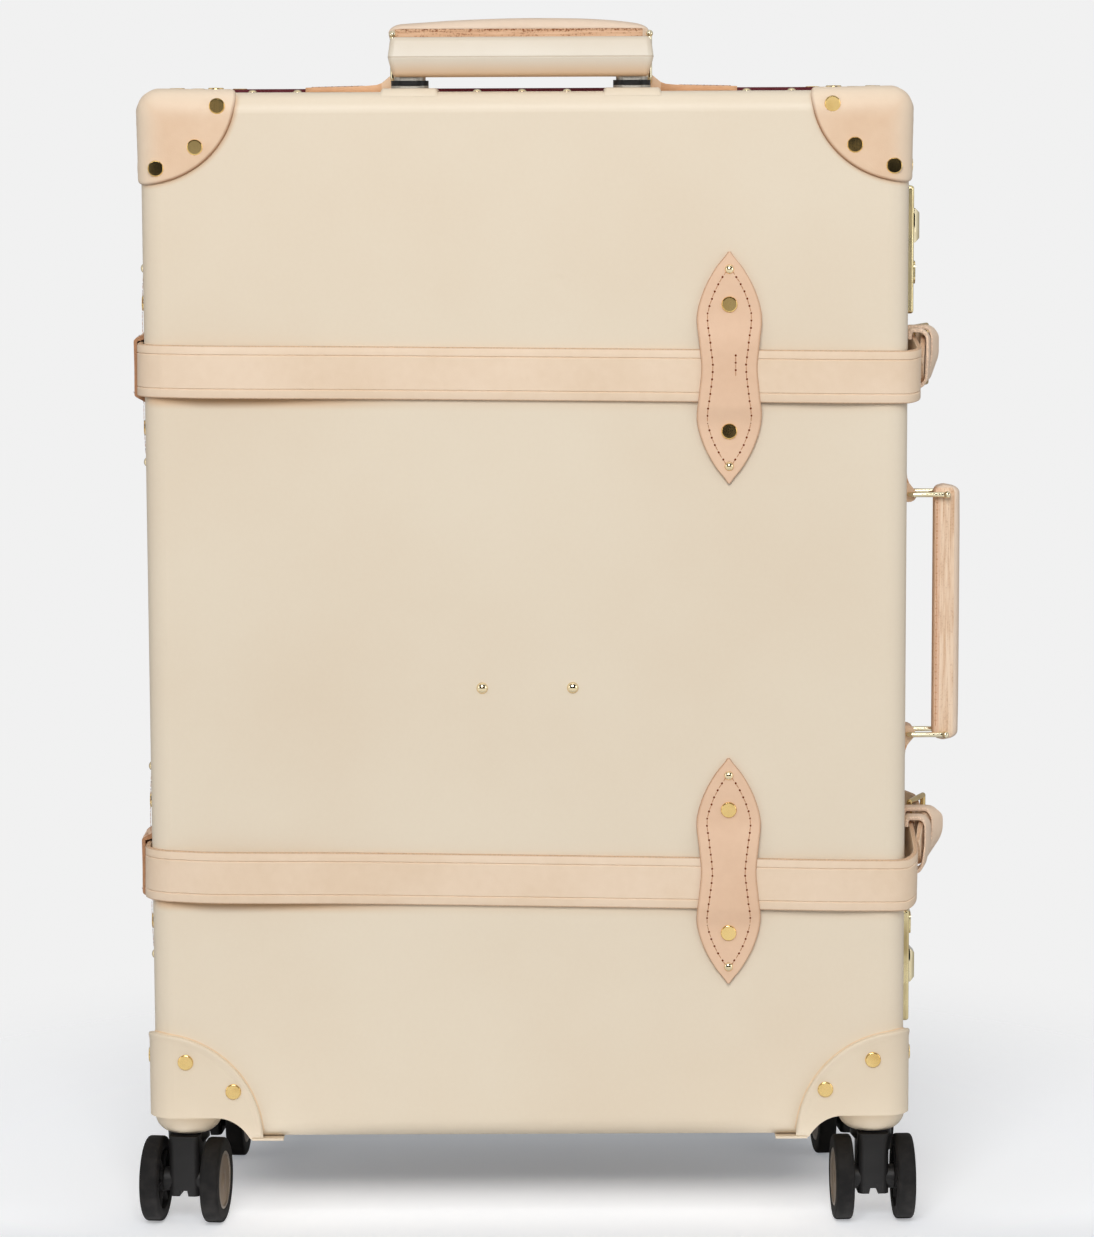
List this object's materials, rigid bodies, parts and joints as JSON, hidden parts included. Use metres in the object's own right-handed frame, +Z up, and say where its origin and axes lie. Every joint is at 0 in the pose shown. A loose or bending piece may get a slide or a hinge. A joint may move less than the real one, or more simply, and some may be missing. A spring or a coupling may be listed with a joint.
{
  "type": "suitcase",
  "caption": "Ivory hard-sided suitcase on swivel casters with leather corners, straps and handles, brass fittings, a telescopic trolley bar and a hinged far shell.",
  "frame": {"origin": "on the floor under the middle of the body, in the plane of the seam between the two shells", "axes": "+Z up, -Y towards the front seen in the picture, +X to the side with locks and buckles"},
  "size_m": [0.5767, 0.283, 0.838],
  "materials": {
    "ivory_shell": "fine grained, satin",
    "burgundy_lining": "woven",
    "burgundy_rim": "smooth",
    "tan_leather": "natural vegetable tan",
    "strap_leather": "natural vegetable tan, creased",
    "ivory_plastic": "satin",
    "brass": "polished",
    "light_alloy": "anodised",
    "black_plastic": "fine grained",
    "black_rubber": "matte"
  },
  "bodies": {
    "base": {"base_shell": "ivory_shell", "base_lining": "burgundy_lining", "base_rim": "burgundy_rim", "base_corners": "tan_leather", "base_housings": "ivory_plastic", "base_rivets": "brass", "base_studs": "brass", "base_straps": "strap_leather", "base_keepers": "tan_leather", "buckle_frames": "brass", "strap_loops": "tan_leather", "lock_bodies": "brass", "handle_chapes": "tan_leather", "trolley_sleeves": "light_alloy", "trolley_bezels": "black_plastic", "trolley_pads": "ivory_plastic", "trolley_bracket": "black_plastic", "base_hinges": "brass"},
    "lid": {"lid_shell": "ivory_shell", "lid_lining": "burgundy_lining", "lid_rim": "burgundy_rim", "lid_corners": "tan_leather", "lid_housings": "ivory_plastic", "lid_rivets": "brass", "lid_studs": "brass", "lid_straps": "strap_leather", "lid_keepers": "tan_leather", "lid_hinges": "brass", "hasp_mounts": "brass"},
    "trolley_middle": {"trolley_middle_tubes": "light_alloy"},
    "trolley_handle": {"trolley_inner_tubes": "light_alloy", "trolley_bar": "ivory_plastic"},
    "trolley_button": {"trolley_button": "ivory_plastic"},
    "top_ring_left": {"top_ring_left": "brass"},
    "top_ring_right": {"top_ring_right": "brass"},
    "top_grip": {"top_grip": "tan_leather"},
    "side_ring_low": {"side_ring_low": "brass"},
    "side_ring_high": {"side_ring_high": "brass"},
    "side_grip": {"side_grip": "tan_leather"},
    "knob_upper": {"knob_upper": "brass"},
    "knob_lower": {"knob_lower": "brass"},
    "hasp_upper": {"hasp_upper": "brass"},
    "hasp_lower": {"hasp_lower": "brass"},
    "prong_upper": {"prong_upper": "brass"},
    "prong_lower": {"prong_lower": "brass"},
    "caster_front_left": {"fork_front_left": "black_plastic"},
    "wheel_front_left_a": {"wheel_front_left_a": "black_rubber"},
    "wheel_front_left_b": {"wheel_front_left_b": "black_rubber"},
    "caster_front_right": {"fork_front_right": "black_plastic"},
    "wheel_front_right_a": {"wheel_front_right_a": "black_rubber"},
    "wheel_front_right_b": {"wheel_front_right_b": "black_rubber"},
    "caster_back_left": {"fork_back_left": "black_plastic"},
    "wheel_back_left_a": {"wheel_back_left_a": "black_rubber"},
    "wheel_back_left_b": {"wheel_back_left_b": "black_rubber"},
    "caster_back_right": {"fork_back_right": "black_plastic"},
    "wheel_back_right_a": {"wheel_back_right_a": "black_rubber"},
    "wheel_back_right_b": {"wheel_back_right_b": "black_rubber"}
  },
  "joints": [
    {"name": "lid_swing", "type": "hinge", "parent": "base", "child": "lid", "pos_m": [-0.267, 0, 0.43], "axis": [0, 0, 1], "range_deg": [0, 140]},
    {"name": "trolley_pull", "type": "slide", "parent": "base", "child": "trolley_handle", "axis": [0, 0, 1], "range_m": [0, 0.3]},
    {"name": "trolley_middle_rise", "type": "slide", "parent": "base", "child": "trolley_middle", "axis": [0, 0, 1], "range_m": [0, 0.15]},
    {"name": "trolley_press", "type": "slide", "parent": "trolley_handle", "child": "trolley_button", "axis": [0, 0, -1], "range_m": [0, 0.004], "stiffness_N_per_m": 200, "springref_m": -0.002},
    {"name": "top_handle_swing", "type": "hinge", "parent": "base", "child": "top_ring_left", "pos_m": [-0.0915, -0.04, 0.7965], "axis": [0, 1, 0], "range_deg": [-60, 60]},
    {"name": "top_ring_right_swing", "type": "hinge", "parent": "base", "child": "top_ring_right", "pos_m": [0.086, -0.04, 0.7965], "axis": [0, 1, 0], "range_deg": [-60, 60]},
    {"name": "top_grip_level", "type": "hinge", "parent": "top_ring_left", "child": "top_grip", "pos_m": [-0.0915, -0.04, 0.8295], "axis": [0, 1, 0], "range_deg": [-60, 60]},
    {"name": "side_handle_swing", "type": "hinge", "parent": "base", "child": "side_ring_low", "pos_m": [0.2665, -0.058, 0.3415], "axis": [0, 1, 0], "range_deg": [-45, 45]},
    {"name": "side_ring_high_swing", "type": "hinge", "parent": "base", "child": "side_ring_high", "pos_m": [0.2665, -0.058, 0.5105], "axis": [0, 1, 0], "range_deg": [-45, 45]},
    {"name": "side_grip_level", "type": "hinge", "parent": "side_ring_low", "child": "side_grip", "pos_m": [0.2925, -0.058, 0.3415], "axis": [0, 1, 0], "range_deg": [-45, 45]},
    {"name": "knob_upper_slide", "type": "slide", "parent": "base", "child": "knob_upper", "axis": [0, 0, -1], "range_m": [0, 0.006], "stiffness_N_per_m": 150, "springref_m": -0.004},
    {"name": "knob_lower_slide", "type": "slide", "parent": "base", "child": "knob_lower", "axis": [0, 0, 1], "range_m": [0, 0.006], "stiffness_N_per_m": 150, "springref_m": -0.004},
    {"name": "hasp_upper_swing", "type": "hinge", "parent": "lid", "child": "hasp_upper", "pos_m": [0.2698, 0.01, 0.663], "axis": [0, 0, 1], "range_deg": [0, 110]},
    {"name": "hasp_lower_swing", "type": "hinge", "parent": "lid", "child": "hasp_lower", "pos_m": [0.2698, 0.01, 0.1985], "axis": [0, 0, 1], "range_deg": [0, 110]},
    {"name": "prong_upper_swing", "type": "hinge", "parent": "base", "child": "prong_upper", "pos_m": [0.2712, -0.032, 0.6045], "axis": [0, 0, -1], "range_deg": [0, 70]},
    {"name": "prong_lower_swing", "type": "hinge", "parent": "base", "child": "prong_lower", "pos_m": [0.2712, -0.032, 0.267], "axis": [0, 0, -1], "range_deg": [0, 70]},
    {"name": "swivel_front_left", "type": "hinge", "parent": "base", "child": "caster_front_left", "pos_m": [-0.241, -0.081, 0.072], "axis": [0, 0, 1], "continuous": true},
    {"name": "roll_front_left_a", "type": "hinge", "parent": "caster_front_left", "child": "wheel_front_left_a", "pos_m": [-0.24246, -0.09291, 0.03], "axis": [0.9925, -0.1219, 0], "continuous": true},
    {"name": "roll_front_left_b", "type": "hinge", "parent": "caster_front_left", "child": "wheel_front_left_b", "pos_m": [-0.24246, -0.09291, 0.03], "axis": [0.9925, -0.1219, 0], "continuous": true},
    {"name": "swivel_front_right", "type": "hinge", "parent": "base", "child": "caster_front_right", "pos_m": [0.241, -0.081, 0.072], "axis": [0, 0, 1], "continuous": true},
    {"name": "roll_front_right_a", "type": "hinge", "parent": "caster_front_right", "child": "wheel_front_right_a", "pos_m": [0.24142, -0.09299, 0.03], "axis": [0.9994, 0.0349, 0], "continuous": true},
    {"name": "roll_front_right_b", "type": "hinge", "parent": "caster_front_right", "child": "wheel_front_right_b", "pos_m": [0.24142, -0.09299, 0.03], "axis": [0.9994, 0.0349, 0], "continuous": true},
    {"name": "swivel_back_left", "type": "hinge", "parent": "lid", "child": "caster_back_left", "pos_m": [-0.241, 0.081, 0.072], "axis": [0, 0, 1], "continuous": true},
    {"name": "roll_back_left_a", "type": "hinge", "parent": "caster_back_left", "child": "wheel_back_left_a", "pos_m": [-0.24016, 0.09297, 0.03], "axis": [-0.9976, 0.0698, 0], "continuous": true},
    {"name": "roll_back_left_b", "type": "hinge", "parent": "caster_back_left", "child": "wheel_back_left_b", "pos_m": [-0.24016, 0.09297, 0.03], "axis": [-0.9976, 0.0698, 0], "continuous": true},
    {"name": "swivel_back_right", "type": "hinge", "parent": "lid", "child": "caster_back_right", "pos_m": [0.241, 0.081, 0.072], "axis": [0, 0, 1], "continuous": true},
    {"name": "roll_back_right_a", "type": "hinge", "parent": "caster_back_right", "child": "wheel_back_right_a", "pos_m": [0.23995, 0.09295, 0.03], "axis": [-0.9962, -0.0872, 0], "continuous": true},
    {"name": "roll_back_right_b", "type": "hinge", "parent": "caster_back_right", "child": "wheel_back_right_b", "pos_m": [0.23995, 0.09295, 0.03], "axis": [-0.9962, -0.0872, 0], "continuous": true}
  ],
  "couplings": [
    {"joint": "trolley_middle_rise", "follows": "trolley_pull", "ratio": 0.5},
    {"joint": "top_ring_right_swing", "follows": "top_handle_swing", "ratio": 1},
    {"joint": "top_grip_level", "follows": "top_handle_swing", "ratio": -1},
    {"joint": "side_ring_high_swing", "follows": "side_handle_swing", "ratio": 1},
    {"joint": "side_grip_level", "follows": "side_handle_swing", "ratio": -1}
  ]
}
